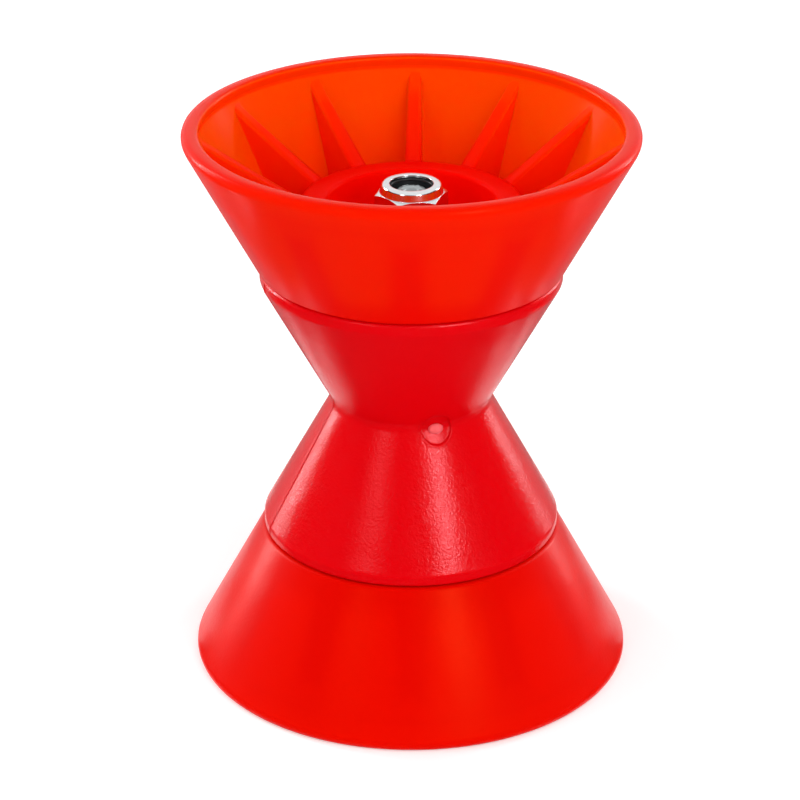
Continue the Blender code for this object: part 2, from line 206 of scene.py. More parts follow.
def moulded_pvc(name, thin, thick, glow, roughness, shine_level, shine_tint, scuffing, grain_depth,
                blotting):
    """Dyed translucent PVC: colours of thin wall, thick body and the painted glow of the inner wall,
    then the shine, the size and depth of the scuffs and the depth of the grain in mm, and how far
    the roughness changes from spot to spot."""
    made, tree = new_material(name)
    coords = node(tree, "ShaderNodeTexCoord")
    place = coords.outputs["Object"]
    inside = node(tree, "ShaderNodeAmbientOcclusion", {"Distance": LIGHT_REACH * MM}, samples=8,
                  inside=True, only_local=True)
    thinness = node(tree, "ShaderNodeMapRange", {"Value": inside.outputs["AO"], "From Max": 0.6,
                                                 "To Min": 1.0, "To Max": 0.0})
    body = node(tree, "ShaderNodeMix", {0: thinness.outputs[0], 6: linear(thick), 7: linear(thin)},
                data_type="RGBA")
    flat = node(tree, "ShaderNodeVectorMath", {0: place, 1: (1, 1, 0)}, operation="MULTIPLY")
    outwards = node(tree, "ShaderNodeVectorMath", {0: flat.outputs[0]}, operation="NORMALIZE")
    facing = node(tree, "ShaderNodeVectorMath", {0: outwards.outputs[0], 1: coords.outputs["Normal"]},
                  operation="DOT_PRODUCT")
    # Painted glow mask: faces that look back at the bolt, near the wall and less on rib flanks and
    # tops, take a brighter orange that stands in for light coming through the wall.
    inwards = node(tree, "ShaderNodeMapRange", {"Value": facing.outputs["Value"], "From Min": 0.3,
                                                "From Max": -0.1})
    upright = node(tree, "ShaderNodeSeparateXYZ", {0: coords.outputs["Normal"]})
    tilt = node(tree, "ShaderNodeMath", {0: upright.outputs["Z"]}, operation="ABSOLUTE")
    off_flanks = node(tree, "ShaderNodeMapRange", {"Value": tilt.outputs[0], "From Min": 0.15,
                                                   "From Max": 0.4, "To Min": 0.45})
    off_tops = node(tree, "ShaderNodeMapRange", {"Value": tilt.outputs[0], "From Min": 0.55,
                                                 "From Max": 0.8, "To Min": 1.0, "To Max": 0.2})
    share = node(tree, "ShaderNodeMath", {0: off_flanks.outputs[0], 1: off_tops.outputs[0]},
                 operation="MULTIPLY")
    radius = node(tree, "ShaderNodeVectorMath", {0: flat.outputs[0]}, operation="LENGTH")
    near_wall = node(tree, "ShaderNodeMapRange", {"Value": radius.outputs["Value"],
                                                  "From Min": HUB_SHADE_RADIUS * MM,
                                                  "From Max": FULL_GLOW_RADIUS * MM})
    inner = node(tree, "ShaderNodeMath", {0: inwards.outputs[0], 1: near_wall.outputs[0]},
                 operation="MULTIPLY")
    painted_glow_mask = node(tree, "ShaderNodeMath", {0: inner.outputs[0], 1: share.outputs[0]},
               operation="MULTIPLY")
    colour = node(tree, "ShaderNodeMix", {0: painted_glow_mask.outputs[0], 6: body.outputs[2], 7: linear(glow)},
                  data_type="RGBA")
    grains = node(tree, "ShaderNodeTexNoise", {"Vector": place, "Scale": 1 / (GRAIN_WIDTH * MM),
                                               "Detail": 3.0, "Roughness": 0.6})
    scuffs = node(tree, "ShaderNodeTexNoise", {"Vector": place, "Scale": 1 / (scuffing[0] * MM),
                                               "Detail": 2.0})
    waves = node(tree, "ShaderNodeTexNoise", {"Vector": place, "Scale": 1 / (WAVE_WIDTH * MM),
                                              "Detail": 1.0})
    soft_edges = node(tree, "ShaderNodeBevel", {"Radius": EDGE_ROUND * MM}, samples=8)
    wavy = node(tree, "ShaderNodeBump", {"Strength": 1.0, "Distance": WAVE_DEPTH * MM,
                                         "Height": waves.outputs[0], "Normal": soft_edges.outputs[0]})
    scuffed = node(tree, "ShaderNodeBump", {"Strength": 1.0, "Distance": scuffing[1] * MM,
                                            "Height": scuffs.outputs[0], "Normal": wavy.outputs[0]})
    grainy = node(tree, "ShaderNodeBump", {"Strength": 1.0, "Distance": grain_depth * MM,
                                           "Height": grains.outputs[0],
                                           "Normal": scuffed.outputs[0]})
    spots = node(tree, "ShaderNodeTexNoise", {"Vector": place, "Scale": 1 / (SPOT_WIDTH * MM),
                                              "Detail": 1.0})
    shine = node(tree, "ShaderNodeMapRange", {"Value": spots.outputs[0], "From Min": 0.35,
                                              "From Max": 0.65, "To Min": roughness - blotting / 2,
                                              "To Max": roughness + blotting})
    shader = node(tree, "ShaderNodeBsdfPrincipled", {
        "Base Color": colour.outputs[2], "Roughness": shine.outputs[0], "IOR": 1.53,
        "Specular IOR Level": shine_level, "Specular Tint": linear(shine_tint),
        "Subsurface Weight": 0.5, "Subsurface Radius": (1.0, 0.2, 0.1), "Subsurface Scale": 4 * MM,
        "Normal": grainy.outputs[0]})
    node(tree, "ShaderNodeOutputMaterial", {"Surface": shader.outputs[0]})
    return made


# %% [markdown]
# Five finishes come from it. The two bells are one moulding in two copies of the finish: the upper
# bell's more orange copy is painted light for a cup open to the room, and the lower bell's deeper copy
# is painted shade for a cup closed by the floor. The cup side of a bell was moulded on a plain core, so
# it has hardly any shine, and its red is brighter than the outside's: painted light that lifts the
# shade inside the cup. The roller is crimson and glossier, with scuffs deep enough to break up a
# streak. Where the sprue snapped off, the plastic was stretched and turned pale and rough, and that
# pale colour is partly a painted highlight on the stub.

# %% The PVC finishes
# Two copies of one finish: the upper bell's more orange one is painted light, the lower bell's deeper
# one is painted shade.
bell_pvc = moulded_pvc("moulded_translucent_pvc_orange_red", "F02000", "E80600", "F04600", 0.25,
                       0.07, "FF9050", (1.3, 0.03), 0.006, 0.015)
shaded_bell_pvc = moulded_pvc("moulded_translucent_pvc_orange_red_painted_shade", "E80C00", "DC0400", "F84000",
                            0.3, 0.115, "FF7030", (1.0, 0.04), 0.006, 0.02)
# The core side's brighter red is painted light that lifts the shade inside the cup; its weak shine is
# the core's own finish.
cup_side_pvc_painted_light = moulded_pvc("moulded_translucent_pvc_core_side_painted_light", "FF2A00", "FC0600", "F04600", 0.3,
                            0.02, "FF7030", (1.3, 0.03), 0.006, 0.02)
roller_pvc = moulded_pvc("moulded_translucent_pvc_crimson", "E60008", "DC0008", "E60008", 0.19,
                         0.28, "FFB0B8", (0.8, 0.09), 0.015, 0.06)
# The stub's pale colour is partly stress whitening and partly a painted highlight.
broken_pvc = moulded_pvc("broken_pvc_whitened_with_painted_highlight", "FA5A60", "F4484E", "FA5A60", 0.5, 0.4,
                         "FFE0E0", (1.2, 0.45), 0.03, 0.1)
for finish in (bell_pvc, shaded_bell_pvc, cup_side_pvc_painted_light, roller_pvc, broken_pvc):
    print("PVC finish:", finish.name)

# %% [markdown]
# The nut, bolt and washers are cold-formed steel with a bright zinc plating: a white metal, mirror
# smooth on the collar, with fine tool lines and a slight blue-grey cloud from the plating bath.

# %% Zinc-plated steel
def zinc_plated(name, tint, bright, roughness):
    made, tree = new_material(name)
    place = node(tree, "ShaderNodeTexCoord").outputs["Object"]
    cloud = node(tree, "ShaderNodeTexNoise", {"Vector": place, "Scale": 1 / (5 * MM), "Detail": 4.0})
    tone = node(tree, "ShaderNodeMix", {0: cloud.outputs[0], 6: linear(tint), 7: linear(bright)},
                data_type="RGBA")
    shine = node(tree, "ShaderNodeMapRange", {"Value": cloud.outputs[0], "To Min": roughness - 0.06,
                                              "To Max": roughness + 0.08})
    long_grain = node(tree, "ShaderNodeMapping", {"Vector": place, "Scale": (1.0, 1.0, 6.0)})
    lines = node(tree, "ShaderNodeTexNoise", {"Vector": long_grain.outputs[0], "Scale": 1 / (0.5 * MM),
                                              "Detail": 2.0})
    edges = node(tree, "ShaderNodeBevel", {"Radius": 0.12 * MM}, samples=4)
    bump = node(tree, "ShaderNodeBump", {"Strength": 1.0, "Distance": 0.003 * MM,
                                         "Height": lines.outputs[0], "Normal": edges.outputs[0]})
    shader = node(tree, "ShaderNodeBsdfPrincipled", {
        "Base Color": tone.outputs[2], "Metallic": 1.0, "Roughness": shine.outputs[0],
        "Normal": bump.outputs[0]})
    node(tree, "ShaderNodeOutputMaterial", {"Surface": shader.outputs[0]})
    return made


zinc = zinc_plated("zinc_plated_cold_formed_steel", "D6D9DC", "E6E7E8", 0.16)
# The bolt takes a darker grey and a rougher shine than the nut and washers.
dull_zinc = zinc_plated("zinc_plated_rolled_thread", "9CA2A4", "B4B9BA", 0.26)

# %% [markdown]
# The bushes and thrust washers are natural nylon, a milky white that dulls to a satin. The ring in
# the lock nut is the same plastic dyed dark. Both are moulded, so they get a very fine even grain.

# %% Moulded nylon
def moulded_nylon(name, light, dark, roughness):
    made, tree = new_material(name)
    place = node(tree, "ShaderNodeTexCoord").outputs["Object"]
    mottle = node(tree, "ShaderNodeTexNoise", {"Vector": place, "Scale": 1 / (3 * MM), "Detail": 3.0})
    tone = node(tree, "ShaderNodeMix", {0: mottle.outputs[0], 6: linear(light), 7: linear(dark)},
                data_type="RGBA")
    grain = node(tree, "ShaderNodeTexNoise", {"Vector": place, "Scale": 1 / (0.3 * MM), "Detail": 2.0})
    bump = node(tree, "ShaderNodeBump", {"Strength": 1.0, "Distance": 0.004 * MM,
                                         "Height": grain.outputs[0]})
    shine = node(tree, "ShaderNodeMapRange", {"Value": mottle.outputs[0], "To Min": roughness - 0.05,
                                              "To Max": roughness + 0.1})
    shader = node(tree, "ShaderNodeBsdfPrincipled", {
        "Base Color": tone.outputs[2], "Roughness": shine.outputs[0], "IOR": 1.53,
        "Subsurface Weight": 0.2, "Subsurface Scale": 1 * MM, "Normal": bump.outputs[0]})
    node(tree, "ShaderNodeOutputMaterial", {"Surface": shader.outputs[0]})
    return made


nylon = moulded_nylon("moulded_natural_nylon", "ECE9DF", "DAD5C6", 0.42)
dark_nylon = moulded_nylon("moulded_dyed_nylon", "202225", "121315", 0.4)

# %% [markdown]
# An end bell is a cup with sloping sides. Its rim is a bead, its bottom is a web with the bolt's
# bore, and a ring round the hub makes a well for the nut and a socket wrench. The outline runs
# down the cone, in through the bore and back up through the cup. The cone touches the rim's round,
# so its lean is worked out from the small end and the rim.

# %% The bell's outline
BELL_HEIGHT = 43.1
RIM_RADIUS = 66.7
RIM_ROUND = 2.4
RIM_WIDTH = 5.1
SMALL_RADIUS = 45.3
WALL = 3.8
WEB = 6.4
RING_OUTER = 32.8
RING_INNER = 24.9
RING_TOP = 19.9
BORE = 8.5

run = RIM_RADIUS - RIM_ROUND - SMALL_RADIUS
rise = BELL_HEIGHT - RIM_ROUND
LEAN = math.atan2(run, rise) + math.asin(RIM_ROUND / math.hypot(run, rise))
WALL_ACROSS = WALL / math.cos(LEAN)


def outer_radius(height):
    return SMALL_RADIUS + height * math.tan(LEAN)


def inner_radius(height):
    return outer_radius(height) - WALL_ACROSS


draft = math.tan(math.radians(1.5)) * (RING_TOP - WEB)
bell_corners = [
    (outer_radius(BELL_HEIGHT), BELL_HEIGHT, RIM_ROUND),
    (SMALL_RADIUS, 0.0, 1.3),
    (BORE + 0.5, 0.0, 0.0),
    (BORE, 0.5, 0.0),
    (BORE, WEB, 0.3),
    (RING_INNER - draft, WEB, 2.0),
    (RING_INNER, RING_TOP, 1.2),
    (RING_OUTER, RING_TOP, 1.2),
    (RING_OUTER + draft, WEB, 2.0),
    (inner_radius(WEB), WEB, 2.0),
    (inner_radius(BELL_HEIGHT - 3.6), BELL_HEIGHT - 3.6, 2.0),
    (RIM_RADIUS - RIM_WIDTH, BELL_HEIGHT, 1.2),
]
print("bell cone leans", round(math.degrees(LEAN), 2), "degrees")

# %% [markdown]
# Twelve gussets stiffen each bell. Every one is a thin wedge from under the rim to the hub ring,
# and it thins towards the mouth so that the mould can let go. One is drawn from its side, extruded,
# tapered and bevelled, and a spin with duplicates sets the other eleven.

# %% The ribs
RIB_COUNT = 12
RIB_BELOW_RIM = 5.2
RIB_BELOW_RING = 0.5
RIB_IN_WEB = 1.6
RIB_IN_RING = 3.2
RIB_FOOT_WIDTH = 5.8
RIB_THINNING = 1.8
RIB_ROUND = 1.3


def rib_set():
    """All ribs as one mesh, each sunk a little way into the wall, the web and the hub ring."""
    top = BELL_HEIGHT - RIB_BELOW_RIM
    hub = RING_TOP - RIB_BELOW_RING
    foot = WEB - RIB_IN_WEB
    form = bmesh.new()
    side = [(inner_radius(top) + WALL_ACROSS / 2, top), (inner_radius(top), top), (RING_OUTER, hub),
            (RING_OUTER - RIB_IN_RING, hub), (RING_OUTER - RIB_IN_RING, foot),
            (inner_radius(foot) + WALL_ACROSS / 2, foot)]
    near = [form.verts.new((r * MM, -0.5, z * MM)) for r, z in side]
    made = bmesh.ops.extrude_face_region(form, geom=[form.faces.new(near)])
    far = [v for v in made["geom"] if isinstance(v, bmesh.types.BMVert)]
    bmesh.ops.translate(form, verts=far, vec=(0, 1.0, 0))
    for vert in form.verts:
        share = (vert.co.z / MM - foot) / (top - foot)
        vert.co.y *= (RIB_FOOT_WIDTH - RIB_THINNING * share) * MM
    sloping = [e for e in form.edges if abs(e.verts[0].co.z - e.verts[1].co.z) > 10 * MM
               and min(v.co.z for v in e.verts) > (hub - 0.1) * MM]
    bmesh.ops.bevel(form, geom=sloping, offset=RIB_ROUND * MM, offset_type="OFFSET", segments=5,
                    profile=0.5, affect="EDGES", material=-1)
    bmesh.ops.recalc_face_normals(form, faces=form.faces[:])
    bmesh.ops.spin(form, geom=form.verts[:] + form.edges[:] + form.faces[:], cent=(0, 0, 0),
                   axis=(0, 0, 1), dvec=(0, 0, 0), angle=math.tau * (RIB_COUNT - 1) / RIB_COUNT,
                   steps=RIB_COUNT - 1, use_duplicate=True)
    return form


# %% [markdown]
# Each bell is the turned cup with its ribs joined in. Its faces inside the cup take the second
# material slot, for the dull core side, whose brighter red is painted light that lifts the shade in the
# cup. The lower bell is the same moulding turned over.

# %% Both bells
def bell(name, body, height, flip, turned, finish):
    made = combine(piece(name, turn(outline(bell_corners), 192)), piece("ribs", rib_set()), "UNION")
    made.data.materials.clear()
    made.data.materials.append(finish)
    made.data.materials.append(cup_side_pvc_painted_light)
    for face in made.data.polygons:
        radius, face_height = face.center.xy.length / MM, face.center.z / MM
        in_cup = WEB - 1 < face_height < BELL_HEIGHT - RIM_ROUND
        if in_cup and radius < inner_radius(face_height) + WALL_ACROSS / 2:
            face.material_index = 1
    settle(made, height, flip, turned)
    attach(made, body)
    return made


upper_bell_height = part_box("upper_bell")[0][2] / MM
upper = bell("upper_bell_moulding", "upper_end_bell", upper_bell_height, False, -1.2, bell_pvc)
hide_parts("upper_bell")
# The lower bell takes the deeper copy, painted shade for its closed cup.
lower = bell("lower_bell_moulding", "lower_end_bell", BELL_HEIGHT, True, 0.0, shaded_bell_pvc)
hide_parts("lower_bell")
print("each bell has", triangles(upper), "triangles")

# %% [markdown]
# The centre roller is two cones that meet in a waist, with a short straight land at each end. The
# thrust washers sit in shallow pockets in its ends, and nylon bushes line both ends of its bore.

# %% The roller's outline
ROLLER_LENGTH = 84.4
END_RADIUS = 45.0
WAIST_RADIUS = 23.8
WAIST_ROUND = 3.2
LAND = 3.2
POCKET_RADIUS = 14.3
POCKET_DEPTH = 1.75
BUSH_SEAT = 20.3
CORE_BORE = 6.9

half = ROLLER_LENGTH / 2
roller_lean = math.atan2(END_RADIUS - WAIST_RADIUS, half - LAND)
land_foot = half - LAND
pocket = half - POCKET_DEPTH


def roller_corners(shrink=0.0):
    """The roller's outline. A shrunken one is used to cut marks to an even depth."""
    upper_half = [(END_RADIUS - shrink, half, 1.1), (END_RADIUS - shrink, land_foot, 1.6)]
    waist = [(WAIST_RADIUS - shrink, 0.0, WAIST_ROUND)]
    bore = [(POCKET_RADIUS + 0.5, half, 0.0), (POCKET_RADIUS, half - 0.5, 0.0),
            (POCKET_RADIUS, pocket, 0.0), (BORE, pocket, 0.0), (BORE, pocket - BUSH_SEAT, 0.0),
            (CORE_BORE, pocket - BUSH_SEAT, 0.0)]
    lower_half = [(r, -z, c) for r, z, c in reversed(upper_half)]
    lower_bore = [(r, -z, c) for r, z, c in bore]
    return upper_half + waist + lower_half + lower_bore + list(reversed(bore))


middle = (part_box("centre_roller")[0][2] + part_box("centre_roller")[1][2]) / 2 / MM
roller = piece("centre_roller_moulding", turn(outline(roller_corners()), 240))

# %% [markdown]
# The mould leaves its marks. The plastic came in through a gate in the waist, where a round imprint
# shows with the broken stub of the sprue in it. The halves of the mould met on two lines, a quarter
# turn away from the gate, and a thin flash stands there. Each mark is cut or joined with a grown or
# shrunken copy of the roller itself, so it follows the curved surface at an even depth. A raised lip
# goes round the imprint, and a small pit sits low on the lower cone.

# %% Mould marks on the roller
GATE_BEARING = 17.5
GATE_HEIGHT = -0.55
GATE_RADIUS = 4.65
IMPRINT_DEPTH = 0.7
FLASH_HEIGHT = 0.2
FLASH_WIDTH = 0.45
LIP_OUTER = 5.2
STUB_RADIUS = 1.9
STUB_LEAN = 20.0
PIT_RADIUS = 0.9
PIT_BEARING = -71
PIT_HEIGHT = 54


def towards(bearing, height, elevation=0.0):
    """A frame whose Z axis points out of the roller at a bearing from the camera's side."""
    return (Matrix.Translation((0, 0, height * MM)) @ Matrix.Rotation(math.radians(bearing), 4, "Z")
            @ Matrix.Rotation(math.radians(90 - elevation), 4, "X"))


def rod(name, radius, low, high, place, rounded=0.0):
    """A round bar between two distances from the bolt's line, with its far edge rounded."""
    form = turn(outline([(radius, high, rounded), (radius, low, 0.0), (0.0, low, 0.0),
                         (0.0, high, 0.0)]), 64)
    form.transform(place)
    return piece(name, form)


imprint = rod("imprint", GATE_RADIUS, 15.0, 40.0, towards(GATE_BEARING, GATE_HEIGHT))
kept = piece("kept_core", turn(outline(roller_corners(IMPRINT_DEPTH)), 240))
combine(roller, combine(imprint, kept, "DIFFERENCE"), "DIFFERENCE")
stub_top = towards(GATE_BEARING, GATE_HEIGHT - 0.4) @ Matrix.Translation((0, 0, WAIST_RADIUS * MM))
stub_frame = stub_top @ Matrix.Rotation(math.radians(-STUB_LEAN), 4, "X")
stub = rod("sprue_stub", STUB_RADIUS, -2.5, 0.9, stub_frame @ Matrix.Diagonal((1.2, 0.8, 1, 1)), 0.7)
settle(stub, middle)
stub.data.materials.append(broken_pvc)
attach(stub, "roller")
pit = bmesh.new()
pit_place = (towards(PIT_BEARING, PIT_HEIGHT - middle)
             @ Matrix.Translation((0, 0, (END_RADIUS + 0.3) * MM)))
bmesh.ops.create_icosphere(pit, subdivisions=3, radius=PIT_RADIUS * MM, matrix=pit_place)
combine(roller, piece("pit", pit), "DIFFERENCE")

flash = piece("flash", turn(outline(roller_corners(-FLASH_HEIGHT)), 240))
slab = bmesh.new()
bmesh.ops.create_cube(slab, size=1.0)
bmesh.ops.scale(slab, vec=(FLASH_WIDTH * MM, 0.2, (ROLLER_LENGTH - 1.4) * MM), verts=slab.verts[:])
bmesh.ops.rotate(slab, cent=(0, 0, 0), verts=slab.verts[:],
                 matrix=Matrix.Rotation(math.radians(GATE_BEARING - 90), 3, "Z"))
lip = turn(outline([(LIP_OUTER, 40, 0), (LIP_OUTER, 15, 0), (GATE_RADIUS, 15, 0),
                    (GATE_RADIUS, 40, 0)]), 64)
lip.transform(towards(GATE_BEARING, GATE_HEIGHT))
combine(flash, combine(piece("slab", slab), piece("lip", lip), "UNION"), "INTERSECT")
combine(roller, flash, "UNION")
settle(roller, middle)
roller.data.materials.clear()
roller.data.materials.append(roller_pvc)
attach(roller, "roller")
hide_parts("centre_roller")
print("roller:", triangles(roller), "triangles, cones lean", round(math.degrees(roller_lean), 1))

# %% [markdown]
# The lock nut is a hex body with a round collar that holds a nylon ring. Cutting the turned form
# to a hex bar leaves the curved chamfer edges that a machined nut has on its six flats. The collar
# widens to the flats at its foot, so only the chamfered corners catch the white of the room.

# %% Hex bar
FLATS = 19.0
FINE_STEPS = 144
CORNERS = FLATS / math.sqrt(3)


def hex_bar(turned):
    form = bmesh.new()
    bmesh.ops.create_cone(form, cap_ends=True, segments=6, radius1=CORNERS * MM, radius2=CORNERS * MM,
                          depth=0.6, matrix=Matrix.Rotation(math.radians(turned), 4, "Z"))
    return piece("hex_bar", form)


CHAMFER = math.tan(math.radians(30))
CHAMFER_DROP = (CORNERS + 1 - FLATS / 2) * CHAMFER

# %% Lock nut and its ring
NUT_HEIGHT = 14.0
HEX_HEIGHT = 11.4
NUT_TURN = -20.5
HEX_TOP_RADIUS = 9.6
COLLAR_RADIUS = 8.85
COLLAR_FOOT = 9.4
nut_corners = [
    (COLLAR_RADIUS, NUT_HEIGHT, 0.9), (COLLAR_FOOT, HEX_HEIGHT, 0.1), (HEX_TOP_RADIUS, HEX_HEIGHT, 0.0),
    (CORNERS + 1, HEX_HEIGHT - (CORNERS + 1 - HEX_TOP_RADIUS) * CHAMFER, 0.0),
    (CORNERS + 1, CHAMFER_DROP, 0.0),
    (FLATS / 2, 0.0, 0.0),
    (7.0, 0.0, 0.0), (6.3, 0.7, 0.0), (6.3, 10.1, 0.0), (7.85, 10.1, 0.0), (7.85, 12.6, 0.4),
    (7.15, 13.3, 0.0), (6.4, 13.3, 0.0), (6.4, NUT_HEIGHT, 0.25),
]
nut_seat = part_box("lock_nut")[0][2] / MM
nut = piece("lock_nut_steel", turn(outline(nut_corners), FINE_STEPS))
nut = combine(nut, hex_bar(NUT_TURN), "INTERSECT")
settle(nut, nut_seat)
nut.data.materials.clear()
nut.data.materials.append(zinc)
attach(nut, "axle")
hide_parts("lock_nut")

insert_low, insert_high = (corner[2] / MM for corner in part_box("nylon_insert"))
insert_height = insert_high - insert_low
insert = piece("nylon_insert_ring", turn(outline([
    (7.55, insert_height, 0.6), (7.55, 0.0, 0.0), (6.3, 0.0, 0.0), (6.3, insert_height - 0.9, 0.2),
    (5.95, insert_height - 0.5, 0.2), (5.95, insert_height, 0.2)]), FINE_STEPS))
settle(insert, insert_low)
insert.data.materials.append(dark_nylon)
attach(insert, "axle")
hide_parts("nylon_insert")
print("nut:", triangles(nut), "triangles, insert:", triangles(insert))

# %% [markdown]
# The bolt's end was rolled, which leaves a chamfer, a narrow flat ring and a shallow cup. Its
# thread is a real helix: one tooth of the thread is spun up the shank with a rise per turn. The tooth
# is turned by half a step of the shank first, so that no edge of one lies along an edge of the other,
# which an exact boolean would turn into slivers.

# %% Hex bolt
PITCH = 1.75
THREAD_TURNS = 9
SHANK_RADIUS = 6.0
HEAD_HEIGHT = 7.5
STEPS_PER_TURN = 48
HALF_STEP = 360 / FINE_STEPS / 2
BOLT_TURN = 11.0
head_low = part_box("hex_bolt")[0][2] / MM
bolt_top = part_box("hex_bolt")[1][2] / MM
head_seat = head_low + HEAD_HEIGHT
length = bolt_top - head_seat
root = 5.05
bolt_corners = [
    (0.0, length - 0.5, 0.0), (2.2, length - 0.45, 0.8), (3.0, length, 0.2), (4.0, length, 0.15),
    (root + 0.05, length - 1.05, 0.0), (root, length - 1.4, 0.0), (root, length - 16.5, 0.0),
    (SHANK_RADIUS, length - 18.0, 0.0), (SHANK_RADIUS, 0.5, 0.0), (6.3, 0.0, 0.0), (9.1, 0.0, 0.0),
    (9.1, -0.4, 0.0), (CORNERS + 1, -0.4, 0.0), (CORNERS + 1, CHAMFER_DROP - HEAD_HEIGHT, 0.0),
    (FLATS / 2, -HEAD_HEIGHT, 0.2), (0.0, -HEAD_HEIGHT, 0.0),
]
bolt = piece("hex_bolt_steel", turn(outline(bolt_corners), FINE_STEPS))
bolt = combine(bolt, hex_bar(BOLT_TURN), "INTERSECT")

tooth = bmesh.new()
start = length - 0.9 - PITCH * THREAD_TURNS
points = [tooth.verts.new((r * MM, 0, (start + z) * MM)) for r, z in
          ((root - 0.15, -0.82), (5.86, -0.16), (5.86, 0.16), (root - 0.15, 0.82))]
flank = tooth.faces.new(points)
bmesh.ops.spin(tooth, geom=[flank] + list(flank.edges) + points, cent=(0, 0, 0), axis=(0, 0, 1),
               dvec=(0, 0, PITCH / STEPS_PER_TURN * MM), angle=math.tau * THREAD_TURNS,
               steps=STEPS_PER_TURN * THREAD_TURNS)
bmesh.ops.recalc_face_normals(tooth, faces=tooth.faces[:])
bmesh.ops.rotate(tooth, cent=(0, 0, 0), verts=tooth.verts[:],
                 matrix=Matrix.Rotation(math.radians(HALF_STEP), 3, "Z"))
thread = piece("thread", tooth)
print("thread:", triangles(thread), "triangles")
bolt = combine(bolt, thread, "UNION")
settle(bolt, head_seat)
bolt.data.materials.clear()
bolt.data.materials.append(dull_zinc)
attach(bolt, "axle")
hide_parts("hex_bolt")
print("bolt:", triangles(bolt), "triangles")

# %% [markdown]
# Washers and flanged bushes are plain rings with eased edges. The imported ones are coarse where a
# look into the cup shows them, so these are turned again with more steps.

# %% Washers and bushes
def ring(name, cad_name, body, corners, finish, flip=False):
    low, high = (corner[2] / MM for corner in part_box(cad_name))
    made = piece(name, turn(outline(corners), FINE_STEPS))
    settle(made, high if flip else low, flip)
    made.data.materials.append(finish)
    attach(made, body)
    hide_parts(cad_name)
    return made


washer_corners = [(12.0, 2.5, 0.35), (12.0, 0.0, 0.2), (6.5, 0.0, 0.2), (6.5, 2.5, 0.3)]
ring("nut_washer_steel", "nut_washer", "axle", washer_corners, zinc)
ring("head_washer_steel", "head_washer", "axle", washer_corners, zinc, flip=True)
bush_corners = [(12.5, 7.8, 0.4), (12.5, 6.3, 0.0), (8.2, 6.3, 0.0), (8.2, 0.0, 0.4), (6.3, 0.0, 0.4),
                (6.3, 7.8, 0.4)]
ring("upper_bell_bush_nylon", "upper_bell_bush", "upper_end_bell", bush_corners, nylon)
ring("lower_bell_bush_nylon", "lower_bell_bush", "lower_end_bell", bush_corners, nylon, flip=True)

for name in ("upper_roller_bush", "lower_roller_bush", "upper_thrust_washer", "lower_thrust_washer"):
    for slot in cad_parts[name].material_slots:
        slot.material = nylon
print("rings made, four sealed CAD pieces keep their shape")

# %% [markdown]
# The studio is a white floor and a white surround. The picture's background has to stay white
# without putting more light on the object, so the world shows white to the camera and to
# reflections and gives a softer fill to everything else. The floor is lifted a little in the same way,
# and more so far from the roller, where no shadow falls and the lamps don't reach.

# %% Floor
LIFT_NEAR, LIFT_FAR = 0.3, 0.68
LIFT_STARTS, LIFT_ENDS = 0.4, 1.6
floor_form = bmesh.new()
bmesh.ops.create_grid(floor_form, x_segments=1, y_segments=1, size=6.0)
floor = piece("studio_floor", floor_form)
paper, tree = new_material("white_paper_sweep")
spot = node(tree, "ShaderNodeTexCoord").outputs["Object"]
fibre = node(tree, "ShaderNodeTexNoise", {"Vector": spot, "Scale": 1 / (6 * MM), "Detail": 3.0})
tone = node(tree, "ShaderNodeMix", {0: fibre.outputs[0], 6: linear("F6F6F6"), 7: linear("F2F2F2")},
            data_type="RGBA")
matt = node(tree, "ShaderNodeBsdfDiffuse", {"Color": tone.outputs[2]})
paths = node(tree, "ShaderNodeLightPath")
seen = node(tree, "ShaderNodeMath", {0: paths.outputs["Is Camera Ray"],
                                     1: paths.outputs["Is Glossy Ray"]}, operation="MAXIMUM")
seen = node(tree, "ShaderNodeMath", {0: seen.outputs[0],
                                     1: paths.outputs["Is Transmission Ray"]}, operation="MAXIMUM")
away = node(tree, "ShaderNodeVectorMath", {0: spot}, operation="LENGTH")
amount = node(tree, "ShaderNodeMapRange", {
    "Value": away.outputs["Value"], "From Min": LIFT_STARTS, "From Max": LIFT_ENDS,
    "To Min": LIFT_NEAR, "To Max": LIFT_FAR})
lift_level = node(tree, "ShaderNodeMath", {0: seen.outputs[0], 1: amount.outputs[0]},
                  operation="MULTIPLY")
lift = node(tree, "ShaderNodeEmission", {"Strength": lift_level.outputs[0]})
whole = node(tree, "ShaderNodeAddShader", {0: matt.outputs[0], 1: lift.outputs[0]})
node(tree, "ShaderNodeOutputMaterial", {"Surface": whole.outputs[0]})
floor.data.materials.append(paper)
print("floor:", paper.name)

# %% World
FILL_LEVEL = 0.43
world = bpy.data.worlds.new("white_studio")
world.use_nodes = True
world.node_tree.nodes.clear()
tree = world.node_tree
rays = node(tree, "ShaderNodeLightPath")
shown = node(tree, "ShaderNodeMath", {0: rays.outputs["Is Camera Ray"],
                                      1: rays.outputs["Is Glossy Ray"]}, operation="MAXIMUM")
shown = node(tree, "ShaderNodeMath", {0: shown.outputs[0],
                                      1: rays.outputs["Is Transmission Ray"]}, operation="MAXIMUM")
level = node(tree, "ShaderNodeMapRange", {"Value": shown.outputs[0], "To Min": FILL_LEVEL,
                                          "To Max": 1.0})
sky = node(tree, "ShaderNodeBackground", {"Color": linear("FFFFFF"), "Strength": level.outputs[0]})
node(tree, "ShaderNodeOutputWorld", {"Surface": sky.outputs[0]})
bpy.context.scene.world = world
print("world:", world.name, "fills at", FILL_LEVEL)

# %% [markdown]
# Two tall softboxes stand beside the camera and two low ones behind the roller's flanks. A cone
# mirrors a lamp as one straight streak, so their bearings set where the streaks run. A narrow lamp
# strong enough for the streak on the roller would throw hard shadows of the ribs, so the front right
# one is seen by reflections alone. Two wide fills, which reflections don't see, light the object
# softly in its place and from the left.

# %% Softboxes
LAMP_DISTANCE = 1.6
LAMP_BASE = 0.06


